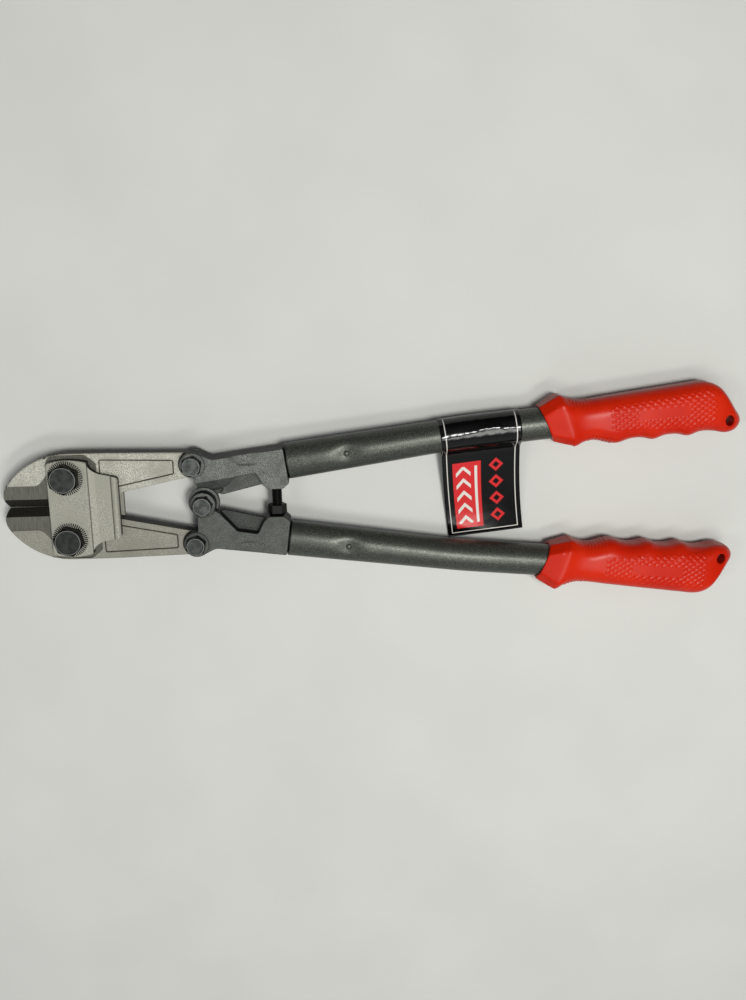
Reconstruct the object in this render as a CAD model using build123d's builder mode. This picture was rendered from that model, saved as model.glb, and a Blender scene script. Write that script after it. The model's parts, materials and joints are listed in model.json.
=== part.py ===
"""Bolt cutters, closed and lying flat.

X runs from the jaws (-) to the grips (+), Y across the tool towards the upper handle, Z up.
The origin lies under the middle of the tool, level with the lowest bolt end.
Outlines are drawn from the main pivot, in millimetres, and heights from the tool's middle plane.
"""

import os
from math import acos, cos, degrees, pi, radians, sin, sqrt, tan

from build123d import *

os.makedirs("parts", exist_ok=True)

# Fits
running_clearance = 0.05     # radial, a bolt in the hole that turns on it
face_clearance = 0.1         # between flat faces that slide on each other
swing_clearance = 0.5        # between a round end and the hollow it swings in
open_pivot_play = 2.3        # radial, at the jaw bolt where the linkage is left open

# Pivot centres, from the main pivot
jaw_bolt_ahead = 80.7
jaw_bolt_offset = 19.1
tail_pivot_ahead = 5.1
tail_pivot_offset = 24.7

# Jaws
jaw_thickness = 9.5
jaw_reach = 39.2             # nose ahead of the jaw bolt
jaw_crown = 13.9             # outer edge beyond the jaw bolt
jaw_shoulder = 24.0          # end of the level outer edge, behind the jaw bolt
jaw_edge_radius = 1.0
nose_width = 14.0
nose_setback = 2.4
edge_gap = 0.15              # cutting edge to the tool's centre line
edge_half = 0.2              # half the flat left on the cutting edge
bevel_width = 5.4
heel_ahead = 9.0             # rear end of the cutting edge, ahead of the jaw bolt
hub_relief = 2.2             # inner edge under the straps, from the centre line
hub_behind = 12.0
waist_behind = 30.5
waist_offset = 8.1
tail_radius = 7.2
tail_thickness = 7.0
seat_depth = 0.8             # ground land and strap seat, below the jaw's face
seat_front_gap = 1.2         # seat's walls to the strap's edges
seat_crown_gap = 1.8
seat_rear_gap = 4.4
land_offset = 13.7           # outer edge of the land, from the centre line
land_ramp = 5.8              # run and rise of the ramp from the land's edge to the seat's front wall
land_rise = 6.5
land_corner = 5.0
panel_front = 19.2           # behind the jaw bolt
panel_rear = 11.6            # ahead of the tail pivot
panel_front_outer = 10.0     # beyond the jaw bolt
panel_rear_outer = 3.0       # beyond the tail pivot
panel_rear_inner = 5.9       # inside the tail pivot
panel_margin = 4.2           # to the jaw's inner edge at the waist
panel_groove = 0.7           # width and depth of the groove about the panel
panel_radius = 1.4

# Straps
strap_thickness = 6.0
strap_front = 11.0           # ahead of the jaw bolts
strap_rear = 13.2            # crease, behind the jaw bolts
strap_crown = 10.9           # outer edge beyond the jaw bolt
strap_crown_rise = 1.7
strap_corner = 2.6
strap_edge_radius = 0.7
tongue_rear = 30.8           # behind the jaw bolts
tongue_root_run = 7.0        # behind the crease
tongue_root_offset = 20.9
tongue_end_offset = 18.6
tongue_sink = 1.2            # tongue's face below the strap's face
tongue_lift = 1.1            # tongue's underside above the strap's underside
tongue_bead = 2.1            # half the width of the rounded ridge along the tongue's end
tongue_bead_rise = 0.9
tongue_bead_fall = 1.2
tongue_corner = 2.5
tongue_bend = 4.0            # run of the slope behind the crease
tick_count = 48
tick_outer = 10.4
tick_length = 3.0
tick_width = 0.5
tick_depth = 0.4

# Bolts and nuts
jaw_bolt_diameter = 10.0
jaw_bolt_flats = 16.0
jaw_bolt_head = 6.8
jaw_nut_height = 8.0
pivot_bolt_diameter = 7.0
pivot_bolt_flats = 11.0
pivot_bolt_head = 5.3
pivot_nut_height = 6.8
bolt_end = 1.0               # bolt standing out of its nut
bolt_end_chamfer = 0.6
hex_chamfer_angle = 30.0
upper_jaw_bolt_turn = 29.0   # of a corner, from the X axis
lower_jaw_bolt_turn = 45.0
tail_bolt_turn = 19.0
centre_bolt_turn = 4.0
hex_washer_face = 0.93       # diameter of a head's flat top, of its size across flats

# Brackets
bracket_thickness = 17.0
fork_radius = 8.0
fork_mouth = 3.5             # slot's outer side, open this far behind the tail pivot
lug_radius = 9.5             # flange at the lap
lug_flange = 2.0             # flange's face, from the middle of the tool
lug_face_radius = 7.6        # boss under the bolt head or nut
boss_height = 0.8
tail_boss_radius = 7.4
arm_left = -3.8
arm_right = (9.6, 5.3)
dip = (6.4, 27.7)
dip_radius = 8.0
flange = (19.2, 29.5)
notch_front = (20.1, 17.1)
notch_rear = (32.6, 19.2)
notch_ramp = (36.4, 11.6)
lobe_offset = 8.6            # flat ends of the stop lobes, from the centre line
lobe_front = 39.6
lobe_rear = 48.8
web_thickness = 3.0
web_front = (11.6, 4.6)
web_rear = (36.5, 10.5)
step_left = (-3.8, 13.7)     # edge of the half lap on the side away from the lug
step_slope_run = 8.0
step_slope_length = 18.5
flange_top = 9.3             # bracket's end face, to each side of the tube's axis
flange_bottom = 12.4
tang_length = 45.0
tang_clearance = 0.1

# Stop screw
stop_behind = 44.6
stop_diameter = 6.6
stop_flats = 10.0
stop_head = 6.2
stop_engagement = 12.0
stop_gap = 0.05              # head to the lower lobe, handles closed

# Tubes
tube_start = (50.9, 24.2)
tube_angle = 7.8
tube_width = 22.2            # at the bracket, across the tool
tube_depth = 17.8            # at the bracket, through the tool
tube_diameter = 20.0         # behind the taper
tube_wall = 1.8
tube_straight = 95.0
bend_radius = 600.0
bend_angle = 2.5
rivet_inset = 7.7            # rivet ahead of the tang's end
rivet_diameter = 3.8
dent_depth = 0.9
dent_radius = 11.0
rivet_dome = 0.8

# Grips
grip_setback = 39.1          # grip's datum behind the bend
grip_inside = 88.0           # tube's end behind the grip's datum
grip_fit = 0.1
rim_at = -0.5
rim_slant = 0.327
rim_outer = 10.9
rim_inner = 11.2
rim_half_depth = 11.0
ridge_at = 12.3
ridge_slant = 0.256
ridge_outer = 17.0
ridge_inner = 15.6
ridge_half_depth = 13.4
collar_chamfer = 5.5
throat_at = 19.0
throat_outer = 12.4
throat_inner = 14.2
neck_at = 26.0
neck_outer = 11.7
neck_inner = 13.3
neck_half_depth = 12.0
palm_half_depth = 13.0
finger_first = 43.1          # first cusp between the finger hollows
finger_pitch = 21.6
finger_count = 3
finger_depth = 2.0
cusp_offset = 16.9
cusp_slope = 0.0139
grip_corner = 10.0           # of a cross section, down to tip_corner at the hanging hole
tip_corner = 6.0
end_taper = 24.9             # run in which the end thins to its tip
shoulder_centre = (95.5, -2.2)
shoulder_radius = 17.0       # outer corner of the end, seen from above
tip_centre = (112.9, -11.0)
tip_radius = 6.8
hang_centre = (111.0, -10.2)
hang_hole_diameter = 6.4

# Flag label
label_length = 49.3
label_film = 0.4
label_gap = 0.1
flag_reach = 69.9            # free edge, from the tube's axis
flag_droop = 11.6            # downwards from the tool's plane
flag_corner = 3.0

# Heights and places that follow from the sizes
jaw_half = jaw_thickness / 2
seat_level = jaw_half - seat_depth
strap_under = seat_level + face_clearance
strap_face = strap_under + strap_thickness
tail_half = tail_thickness / 2
fork_half = tail_half + face_clearance
bracket_half = bracket_thickness / 2
boss_face = bracket_half + boss_height
lap_half = face_clearance / 2
mid_height = strap_face + jaw_nut_height + bolt_end

bolt_x = -jaw_bolt_ahead
bolt_y = jaw_bolt_offset
tail_x = -tail_pivot_ahead
tail_y = tail_pivot_offset
nose_x = bolt_x - jaw_reach

rivet_along = tang_length - rivet_inset
tube_along = Vector(cos(radians(tube_angle)), sin(radians(tube_angle)), 0)
tube_across = Vector(-tube_along.Y, tube_along.X, 0)
grip_angle = tube_angle - bend_angle
grip_along = Vector(cos(radians(grip_angle)), sin(radians(grip_angle)), 0)
grip_across = Vector(-grip_along.Y, grip_along.X, 0)
bend_start = Vector(tube_start[0], tube_start[1], 0) + tube_along * tube_straight
bend_end = bend_start - tube_across * bend_radius + grip_across * bend_radius
grip_datum = bend_end + grip_along * grip_setback
tube_end = grip_datum + grip_along * grip_inside


def grip_point(u, v):
    """Point in the tool's plane, u along a grip from its datum and v outwards from its axis."""
    return grip_datum + grip_along * u + grip_across * v


rear_reach = grip_point(*tip_centre).X + tip_radius
pivot_x = -(rear_reach + nose_x) / 2
middle = Vector(pivot_x, 0, mid_height)

# Straight fall of a grip's end, in u and v, touching the shoulder's round and the tip's
round_gap = Vector(*tip_centre) - Vector(*shoulder_centre)
fall_turn = degrees(acos((shoulder_radius - tip_radius) / round_gap.length))
fall_normal = round_gap.normalized().rotate(Axis.Z, fall_turn)
fall_start = Vector(*shoulder_centre) + fall_normal * shoulder_radius
fall_end = Vector(*tip_centre) + fall_normal * tip_radius


def layer(height):
    """Drawing plane parallel to the tool's flat side, its origin on the main pivot."""
    return Plane(origin=middle + Vector(0, 0, height), x_dir=(1, 0, 0), z_dir=(0, 0, 1))


def tube_plane(along):
    """Plane across the straight run of the upper tube, its x axis pointing outwards."""
    start = Vector(tube_start[0], tube_start[1], 0)
    return Plane(origin=middle + start + tube_along * along, x_dir=tube_across, z_dir=tube_along)


def grip_plane(u, slant):
    """Plane across the upper grip, leaning forward on its outer side by the slant."""
    lean = (grip_across - grip_along * slant).normalized()
    normal = (grip_along + grip_across * slant).normalized()
    return Plane(origin=middle + grip_point(u, 0), x_dir=lean, z_dir=normal)


def share(along):
    """How much of the tube's taper lies behind a place on its straight run."""
    return along / tube_straight


def tube_width_at(along):
    return tube_width + (tube_diameter - tube_width) * share(along)


def tube_depth_at(along):
    return tube_depth + (tube_diameter - tube_depth) * share(along)


def hex_prism(sketch_plane, place, flats, height, turn, washer_top, washer_bottom):
    """Hexagon head or nut standing on a plane, its corners turned down at the marked ends."""
    flat_radius = flats * hex_washer_face / 2
    wide_radius = flat_radius + height / tan(radians(hex_chamfer_angle))
    with BuildPart() as prism:
        with BuildSketch(sketch_plane):
            with Locations(place):
                RegularPolygon(flats / 2, 6, major_radius=False, rotation=turn)
        extrude(amount=height)
        if washer_top:
            with BuildSketch(sketch_plane):
                with Locations(place):
                    Circle(wide_radius)
            with BuildSketch(sketch_plane.offset(height)):
                with Locations(place):
                    Circle(flat_radius)
            loft(mode=Mode.INTERSECT)
        if washer_bottom:
            with BuildSketch(sketch_plane):
                with Locations(place):
                    Circle(flat_radius)
            with BuildSketch(sketch_plane.offset(height)):
                with Locations(place):
                    Circle(wide_radius)
            loft(mode=Mode.INTERSECT)
    return prism.part


def hex_bolt(place, diameter, flats, head, turn, seat, end):
    """Bolt along Z with its head above the seat height and its tip at the end height."""
    with BuildPart() as bolt:
        add(hex_prism(layer(seat), place, flats, head, turn, True, False))
        with BuildSketch(layer(end)):
            with Locations(place):
                Circle(diameter / 2)
        extrude(amount=seat - end)
        tip = bolt.edges().filter_by(GeomType.CIRCLE).group_by(Axis.Z)[0]
        chamfer(tip, bolt_end_chamfer)
    return bolt.part


def hex_nut(place, diameter, flats, height, seat):
    """Nut along Z under the seat height."""
    with BuildPart() as nut:
        add(hex_prism(layer(seat - height), place, flats, height, 0, True, True))
        with BuildSketch(layer(seat - height)):
            with Locations(place):
                Circle(diameter / 2 + running_clearance)
        extrude(amount=height, mode=Mode.SUBTRACT)
    return nut.part


def jaw(hole_radius):
    """Upper jaw with its blade, hub and tail; front and back alike."""
    tip = (nose_x + nose_setback, edge_gap)
    nose = (nose_x, (edge_gap + nose_width) / 2)
    brow = (nose_x + nose_setback, nose_width)
    crown = (bolt_x, bolt_y + jaw_crown)
    shoulder = (bolt_x + jaw_shoulder, bolt_y + jaw_crown)
    tail_outer = (tail_x, tail_y + tail_radius)
    tail_inner = (tail_x, tail_y - tail_radius)
    waist = (bolt_x + waist_behind, waist_offset)
    heel = (bolt_x - heel_ahead, edge_gap)
    seat_front = bolt_x - strap_front - seat_front_gap
    seat_crown = bolt_y + strap_crown + seat_crown_gap
    seat_rear = bolt_x + strap_rear + seat_rear_gap
    with BuildPart() as blank:
        with BuildSketch(layer(-jaw_half)):
            with BuildLine():
                ThreePointArc(tip, nose, brow)
                TangentArc(crown, brow, tangent=(-1, 0))
                Polyline(crown, shoulder, tail_outer)
                ThreePointArc(tail_outer, (tail_x + tail_radius, tail_y), tail_inner)
                Polyline(
                    tail_inner,
                    waist,
                    (bolt_x + hub_behind, hub_relief),
                    (bolt_x - heel_ahead, hub_relief),
                    heel,
                    tip,
                )
            make_face()
        extrude(amount=jaw_thickness)

        # Thinner tail inside the bracket's fork
        for side in (1, -1):
            with BuildSketch(layer(side * jaw_half)):
                with Locations((tail_x, tail_y)):
                    Circle(fork_radius + swing_clearance)
            extrude(amount=-side * (jaw_half - tail_half), mode=Mode.SUBTRACT)

        # Rounded outer edge
        faces = blank.faces().filter_by(lambda f: abs(f.center().Z - mid_height) > jaw_half - 0.01)
        rim = faces.edges().filter_by(lambda e: e.center().Y > bolt_y + jaw_crown / 3)
        fillet(rim.filter_by(lambda e: e.center().X < pivot_x + tail_x - fork_radius), jaw_edge_radius)

        # Bevels of the cutting edge, front and back
        blade_plane = Plane(origin=middle + Vector(nose_x - 1, 0, 0), x_dir=(0, 1, 0), z_dir=(1, 0, 0))
        slope = (seat_level - edge_half) / (bevel_width - edge_gap)
        for side in (1, -1):
            low = (edge_gap - 1, side * (edge_half - slope))
            high = (bevel_width + 1, side * (seat_level + slope))
            with BuildSketch(blade_plane):
                Polygon(low, high, (edge_gap - 1, side * (seat_level + slope)), align=None)
            extrude(amount=jaw_reach - heel_ahead + 1, mode=Mode.SUBTRACT)

        # Ground land with the strap's seat, and the grooved panel on the tail
        for side in (1, -1):
            with BuildSketch(layer(side * jaw_half)):
                with BuildLine():
                    FilletPolyline(
                        (nose_x - 1, -1),
                        (nose_x - 1, land_offset),
                        (seat_front - land_ramp, land_offset),
                        (seat_front, land_offset + land_rise),
                        (seat_front, seat_crown),
                        (seat_rear - land_ramp, seat_crown),
                        (seat_rear, seat_crown - land_corner),
                        (seat_rear, -1),
                        radius=[0, 0, land_corner, 3, land_corner, land_corner, land_corner / 2, 0],
                        close=True,
                    )
                make_face()
            extrude(amount=-side * seat_depth, mode=Mode.SUBTRACT)
            with BuildSketch(layer(side * jaw_half)):
                with BuildLine():
                    FilletPolyline(
                        (bolt_x + panel_front, bolt_y + panel_front_outer),
                        (tail_x - panel_rear, tail_y + panel_rear_outer),
                        (tail_x - panel_rear, tail_y - panel_rear_inner),
                        (bolt_x + waist_behind + 1.5, waist_offset + panel_margin),
                        (bolt_x + panel_front, waist_offset + panel_margin / 2),
                        radius=panel_radius,
                        close=True,
                    )
                make_face()
                offset(amount=-panel_groove, mode=Mode.SUBTRACT)
            extrude(amount=-side * panel_groove, mode=Mode.SUBTRACT)

        with BuildSketch(layer(-jaw_half)):
            with Locations((bolt_x, bolt_y)):
                Circle(hole_radius)
            with Locations((tail_x, tail_y)):
                Circle(pivot_bolt_diameter / 2 + running_clearance)
        extrude(amount=jaw_thickness, mode=Mode.SUBTRACT)
    return blank.part


def strap():
    """Front strap: outline seen from above, cut to its side profile, with ticks about the bolts."""
    front = bolt_x - strap_front
    rear = bolt_x + strap_rear
    end = bolt_x + tongue_rear
    corner = bolt_y + strap_crown - strap_crown_rise
    root = (rear + tongue_root_run, tongue_root_offset)
    neck = (rear, corner - 1.5)
    tongue_face = strap_face - tongue_sink
    tongue_under = strap_under + tongue_lift
    bead_start = end - 2 * tongue_bead
    with BuildPart() as plate:
        with BuildSketch(layer(strap_under)) as outline:
            with BuildLine():
                Line((front, 0), (front, corner))
                ThreePointArc((front, corner), (bolt_x + 1, bolt_y + strap_crown), (rear, corner))
                Line((rear, corner), neck)
                TangentArc(root, neck, tangent=(-1, 0.25))
                Polyline(root, (end, tongue_end_offset), (end, 0))
                mirror(about=Plane.XZ)
            make_face()
            corners = outline.vertices().filter_by(lambda v: abs(v.Y) > 1)
            fillet(corners.group_by(Axis.X)[0], strap_corner)
            corners = outline.vertices().filter_by(lambda v: abs(v.Y) > 1)
            fillet(corners.group_by(Axis.X)[-1], tongue_corner)
        extrude(amount=strap_thickness)
        with BuildSketch(Plane(origin=middle, x_dir=(1, 0, 0), z_dir=(0, -1, 0))):
            with BuildLine():
                Polyline(
                    (bead_start, tongue_face),
                    (rear + tongue_bend, tongue_face),
                    (rear, strap_face),
                    (front - 1, strap_face),
                    (front - 1, strap_under),
                    (rear, strap_under),
                    (rear + tongue_lift, tongue_under),
                    (end, tongue_under),
                    (end, tongue_face - tongue_bead_fall),
                )
                ThreePointArc(
                    (end, tongue_face - tongue_bead_fall),
                    (end - tongue_bead, tongue_face + tongue_bead_rise),
                    (bead_start, tongue_face),
                )
            make_face()
        extrude(amount=bolt_y + strap_crown + 1, both=True, mode=Mode.INTERSECT)
        top = plate.faces().filter_by(Axis.Z).sort_by(Axis.Z)[-1]
        crease = pivot_x + rear - 0.1
        fillet(top.edges().filter_by(lambda e: e.center().X < crease), strap_edge_radius)
        for side in (1, -1):
            with BuildSketch(layer(strap_face)):
                with Locations((bolt_x, side * bolt_y)):
                    with PolarLocations(tick_outer - tick_length / 2, tick_count):
                        Rectangle(tick_length, tick_width)
            extrude(amount=-tick_depth, mode=Mode.SUBTRACT)
            with BuildSketch(layer(strap_under)):
                with Locations((bolt_x, side * bolt_y)):
                    Circle(jaw_bolt_diameter / 2 + running_clearance)
            extrude(amount=strap_thickness, mode=Mode.SUBTRACT)
    return plate.part


def bracket(lug_side):
    """Upper bracket; its lug lies in the front half for a lug side of 1, in the back half for -1."""
    end_top = Vector(*tube_start) + tube_across * flange_top
    end_bottom = Vector(*tube_start) - tube_across * flange_bottom
    with BuildPart() as casting:
        with BuildSketch(layer(-bracket_half)):
            with BuildLine():
                FilletPolyline(
                    (tail_x, tail_y),
                    (tail_x + 0.5 * fork_radius, tail_y + 0.866 * fork_radius),
                    dip,
                    flange,
                    (end_top.X, end_top.Y),
                    (end_bottom.X, end_bottom.Y),
                    (lobe_rear, lobe_offset),
                    (lobe_front, lobe_offset),
                    notch_ramp,
                    notch_rear,
                    notch_front,
                    arm_right,
                    (0, 0),
                    (arm_left, lug_face_radius - 2),
                    (arm_left, tail_y - fork_radius),
                    radius=[0, 0, dip_radius, 3, 1.2, 0.6, 1.5, 1.5, 2, 1.5, 1.5, 0, 0, 0, 1.5],
                    close=True,
                )
            make_face()
            with Locations((tail_x, tail_y)):
                Circle(fork_radius)
        extrude(amount=bracket_thickness)

        # Half lap: the arm is cut away on the side that takes the other bracket's lug
        with BuildSketch(layer(lug_side * lap_half)):
            Polygon(
                (step_left[0] - 8, step_left[1]),
                step_left,
                notch_front,
                arm_right,
                (arm_right[0], -lug_radius),
                (step_left[0] - 8, -lug_radius),
                align=None,
            )
        extrude(amount=-lug_side * bracket_thickness, mode=Mode.SUBTRACT)
        step = Vector(notch_front[0] - step_left[0], notch_front[1] - step_left[1], 0).normalized()
        downhill = Vector(step.Y, -step.X, 0)
        origin = middle + Vector(step_left[0], step_left[1], 0)
        slope_height = -lug_side * bracket_half
        with BuildPart():
            with BuildSketch(Plane(origin=origin, x_dir=downhill, z_dir=step)):
                Polygon((-1, 0), (step_slope_run, 0), (0, -slope_height), (-1, -slope_height), align=None)
            extrude(amount=step_slope_length)
            with BuildSketch(layer(-bracket_half)):
                Polygon(
                    (arm_left, step_left[1] + 1),
                    (notch_front[0], notch_front[1] + 1),
                    notch_front,
                    arm_right,
                    (0, 0),
                    (arm_left, 0),
                    align=None,
                )
            extrude(amount=bracket_thickness, mode=Mode.INTERSECT)

        # Lug: a flange at the lap, and a boss through it to the bolt head or nut
        with BuildSketch(layer(lug_side * lap_half)):
            Circle(lug_radius)
        extrude(amount=lug_side * (lug_flange - lap_half))
        with BuildSketch(layer(lug_side * lap_half)):
            Circle(lug_face_radius)
        extrude(amount=lug_side * (boss_face - lap_half))

        # Web across the notch, clear of the other bracket's lug
        with BuildSketch(layer(-web_thickness / 2)):
            Polygon(web_front, web_rear, notch_ramp, notch_rear, notch_front, arm_right, align=None)
        extrude(amount=web_thickness)
        with BuildSketch(layer(lug_side * lap_half)):
            Circle(lug_radius + swing_clearance)
        extrude(amount=-lug_side * bracket_thickness, mode=Mode.SUBTRACT)

        # Bosses at the tail pivot
        for side in (1, -1):
            with BuildSketch(layer(side * bracket_half)):
                with Locations((tail_x, tail_y)):
                    Circle(tail_boss_radius)
            extrude(amount=side * boss_height)

        # Fork slot for the jaw's tail
        with BuildSketch(layer(-fork_half)):
            with Locations((tail_x, tail_y)):
                Circle(tail_radius + swing_clearance)
            with Locations((tail_x - fork_radius, tail_y)):
                Rectangle(2 * fork_radius, 2 * fork_radius + 2)
            with Locations((tail_x + fork_mouth, tail_y)):
                Rectangle(2 * fork_radius, fork_radius + 1, align=(Align.MAX, Align.MIN))
        extrude(amount=2 * fork_half, mode=Mode.SUBTRACT)

        # Tang inside the tube
        with BuildSketch(tube_plane(0)):
            Ellipse(tube_width / 2 - tube_wall - tang_clearance, tube_depth / 2 - tube_wall - tang_clearance)
        with BuildSketch(tube_plane(tang_length)):
            Ellipse(
                tube_width_at(tang_length) / 2 - tube_wall - tang_clearance,
                tube_depth_at(tang_length) / 2 - tube_wall - tang_clearance,
            )
        loft()
        rivet_at = Vector(*tube_start) + tube_along * rivet_along
        with BuildSketch(layer(-boss_face)):
            with Locations((tail_x, tail_y), (0, 0)):
                Circle(pivot_bolt_diameter / 2 + running_clearance)
            with Locations((rivet_at.X, rivet_at.Y)):
                Circle(rivet_diameter / 2 + running_clearance)
        extrude(amount=2 * boss_face, mode=Mode.SUBTRACT)
    return casting.part


def tube():
    """Upper tube: oval at the bracket, round behind its taper, gently bent, with two dents."""
    round_radius = tube_diameter / 2
    rivet_at = Vector(*tube_start) + tube_along * rivet_along
    with BuildPart() as pipe:
        with BuildLine(layer(0)) as route:
            JernArc((bend_start.X, bend_start.Y), (tube_along.X, tube_along.Y), bend_radius, -bend_angle)
            Line((bend_end.X, bend_end.Y), (tube_end.X, tube_end.Y))
        for inset, how in ((0, Mode.ADD), (tube_wall, Mode.SUBTRACT)):
            with BuildSketch(tube_plane(0)):
                Ellipse(tube_width / 2 - inset, tube_depth / 2 - inset)
            with BuildSketch(tube_plane(tube_straight)):
                Circle(round_radius - inset)
            loft(mode=how)
            with BuildSketch(tube_plane(tube_straight)):
                Circle(round_radius - inset)
            sweep(path=route.wires()[0], mode=how)
        face_height = tube_depth_at(rivet_along) / 2
        for side in (1, -1):
            dent_at = middle + rivet_at + Vector(0, 0, side * (face_height - dent_depth + dent_radius))
            with Locations(dent_at):
                Sphere(dent_radius, mode=Mode.SUBTRACT)
        with BuildSketch(layer(-tube_depth)):
            with Locations((rivet_at.X, rivet_at.Y)):
                Circle(rivet_diameter / 2 + running_clearance)
        extrude(amount=2 * tube_depth, mode=Mode.SUBTRACT)
    return pipe.part


def rivet():
    """Upper tube's rivet, through both dents and the tang, with domed ends."""
    rivet_at = Vector(*tube_start) + tube_along * rivet_along
    half = tube_depth_at(rivet_along) / 2
    with BuildPart() as pin:
        with BuildSketch(layer(-half)):
            with Locations((rivet_at.X, rivet_at.Y)):
                Circle(rivet_diameter / 2)
        extrude(amount=2 * half)
        fillet(pin.edges().filter_by(GeomType.CIRCLE), rivet_dome)
    return pin.part


def finger_edge(u):
    """Inner edge of the grip, measured from its axis: hollows between cusps, then the tip's round."""
    last_cusp = finger_first + finger_count * finger_pitch
    if u < finger_first:
        turn = (1 - cos(pi * (u - neck_at) / (finger_first - neck_at))) / 2
        return -(neck_inner + (cusp_offset - neck_inner) * turn)
    if u > tip_centre[0]:
        return tip_centre[1] - sqrt(tip_radius**2 - (u - tip_centre[0]) ** 2)
    hollow = 0 if u > last_cusp else finger_depth * abs(sin(pi * (u - finger_first) / finger_pitch))
    return hollow - cusp_offset - cusp_slope * (u - finger_first)


def palm_edge(u):
    """Outer edge of the grip, measured from its axis: straight, shoulder, straight fall, tip."""
    if u < shoulder_centre[0]:
        palm_outer = shoulder_centre[1] + shoulder_radius
        return neck_outer + (palm_outer - neck_outer) * (u - neck_at) / (shoulder_centre[0] - neck_at)
    if u < fall_start.X:
        return shoulder_centre[1] + sqrt(shoulder_radius**2 - (u - shoulder_centre[0]) ** 2)
    if u < fall_end.X:
        return fall_start.Y + (fall_end.Y - fall_start.Y) * (u - fall_start.X) / (fall_end.X - fall_start.X)
    return tip_centre[1] + sqrt(tip_radius**2 - (u - tip_centre[0]) ** 2)


def half_depth(u):
    """Half the grip's thickness: fuller under the palm, rounded off at the end."""
    if u > shoulder_centre[0]:
        gone = (u - shoulder_centre[0]) / end_taper
        return palm_half_depth * sqrt(1 - gone**2.5)
    fill = min(1, (u - neck_at) / (2 * finger_pitch))
    return neck_half_depth + (palm_half_depth - neck_half_depth) * sin(pi / 2 * fill)


def grip_outline(u, slant, outer, inner, deep, chamfered):
    """Cross section of the grip, as a sketch on its own plane."""
    stretch = sqrt(1 + slant**2)
    width = (outer - inner) * stretch
    towards_hole = (u - shoulder_centre[0]) / (hang_centre[0] - shoulder_centre[0])
    corner = grip_corner + (tip_corner - grip_corner) * min(1, max(0, towards_hole))
    with BuildSketch(grip_plane(u, slant)) as outline:
        with Locations(((outer + inner) / 2 * stretch, 0)):
            if chamfered:
                Rectangle(width, 2 * deep)
                chamfer(outline.vertices(), collar_chamfer)
            else:
                RectangleRounded(width, 2 * deep, min(corner, 0.46 * width, 0.92 * deep))
    return outline.sketch


def grip():
    """Upper grip: flared collar with a slanted rim, neck, finger hollows and a hanging hole."""
    rim = grip_outline(rim_at, rim_slant, rim_outer, -rim_inner, rim_half_depth, True)
    ridge = grip_outline(ridge_at, ridge_slant, ridge_outer, -ridge_inner, ridge_half_depth, True)
    throat_depth = (ridge_half_depth + neck_half_depth) / 2 - 0.4
    body = [ridge, grip_outline(throat_at, 0, throat_outer, -throat_inner, throat_depth, False)]
    places = [neck_at, (neck_at + finger_first) / 2]
    for quarter in range(4 * finger_count + 1):
        places.append(finger_first + quarter * finger_pitch / 4)
    tip_end = tip_centre[0] + tip_radius
    for back in (7.7, 4.8, 2.5, 1.1, 0.3):
        places.append(tip_end - back)
    for u in places:
        body.append(grip_outline(u, 0, palm_edge(u), finger_edge(u), half_depth(u), False))
    with BuildPart() as sleeve:
        loft(sections=body)
        loft(sections=[rim, ridge], ruled=True)
        with BuildSketch(grip_plane(-2 * tube_diameter, 0)):
            Circle(tube_diameter / 2 + grip_fit)
        extrude(amount=2 * tube_diameter + grip_inside + 0.5, mode=Mode.SUBTRACT)
        hang_at = grip_point(*hang_centre)
        with BuildSketch(layer(-2 * palm_half_depth)):
            with Locations((hang_at.X, hang_at.Y)):
                Circle(hang_hole_diameter / 2)
        extrude(amount=4 * palm_half_depth, mode=Mode.SUBTRACT)
    return sleeve.part


# Jaws: the lower one's bolt hole is the linkage's open pivot
with BuildPart() as upper_jaw:
    add(jaw(jaw_bolt_diameter / 2 + running_clearance))

with BuildPart() as lower_jaw:
    mirror(jaw(jaw_bolt_diameter / 2 + open_pivot_play), about=Plane.XZ)

# Straps with the jaw bolts and their nuts
with BuildPart() as front_strap:
    add(strap())

with BuildPart() as rear_strap:
    mirror(front_strap.part, about=layer(0))

jaw_bolt_tip = -(strap_face + jaw_nut_height + bolt_end)
jaw_bolt_sizes = (jaw_bolt_diameter, jaw_bolt_flats, jaw_bolt_head)
with BuildPart() as upper_jaw_bolt:
    add(hex_bolt((bolt_x, bolt_y), *jaw_bolt_sizes, upper_jaw_bolt_turn, strap_face, jaw_bolt_tip))

with BuildPart() as lower_jaw_bolt:
    add(hex_bolt((bolt_x, -bolt_y), *jaw_bolt_sizes, lower_jaw_bolt_turn, strap_face, jaw_bolt_tip))

with BuildPart() as upper_jaw_nut:
    add(hex_nut((bolt_x, bolt_y), jaw_bolt_diameter, jaw_bolt_flats, jaw_nut_height, -strap_face))

with BuildPart() as lower_jaw_nut:
    mirror(upper_jaw_nut.part, about=Plane.XZ)

# Brackets: the lower one laps its lug over the upper one's
stop_axis = Plane(
    origin=middle + Vector(stop_behind, -lobe_offset + stop_gap, 0), x_dir=(1, 0, 0), z_dir=(0, 1, 0)
)
stop_reach = 2 * lobe_offset - stop_gap
with BuildPart() as upper_bracket:
    add(bracket(-1))
    with BuildSketch(stop_axis.offset(stop_reach)):
        Circle(stop_diameter / 2 + running_clearance)
    extrude(amount=stop_engagement + 0.5, mode=Mode.SUBTRACT)

with BuildPart() as lower_bracket:
    mirror(bracket(1), about=Plane.XZ)

with BuildPart() as stop_screw:
    add(hex_prism(stop_axis, (0, 0), stop_flats, stop_head, 0, False, True))
    with BuildSketch(stop_axis.offset(stop_head)):
        Circle(stop_diameter / 2)
    extrude(amount=stop_reach - stop_head + stop_engagement)

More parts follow.
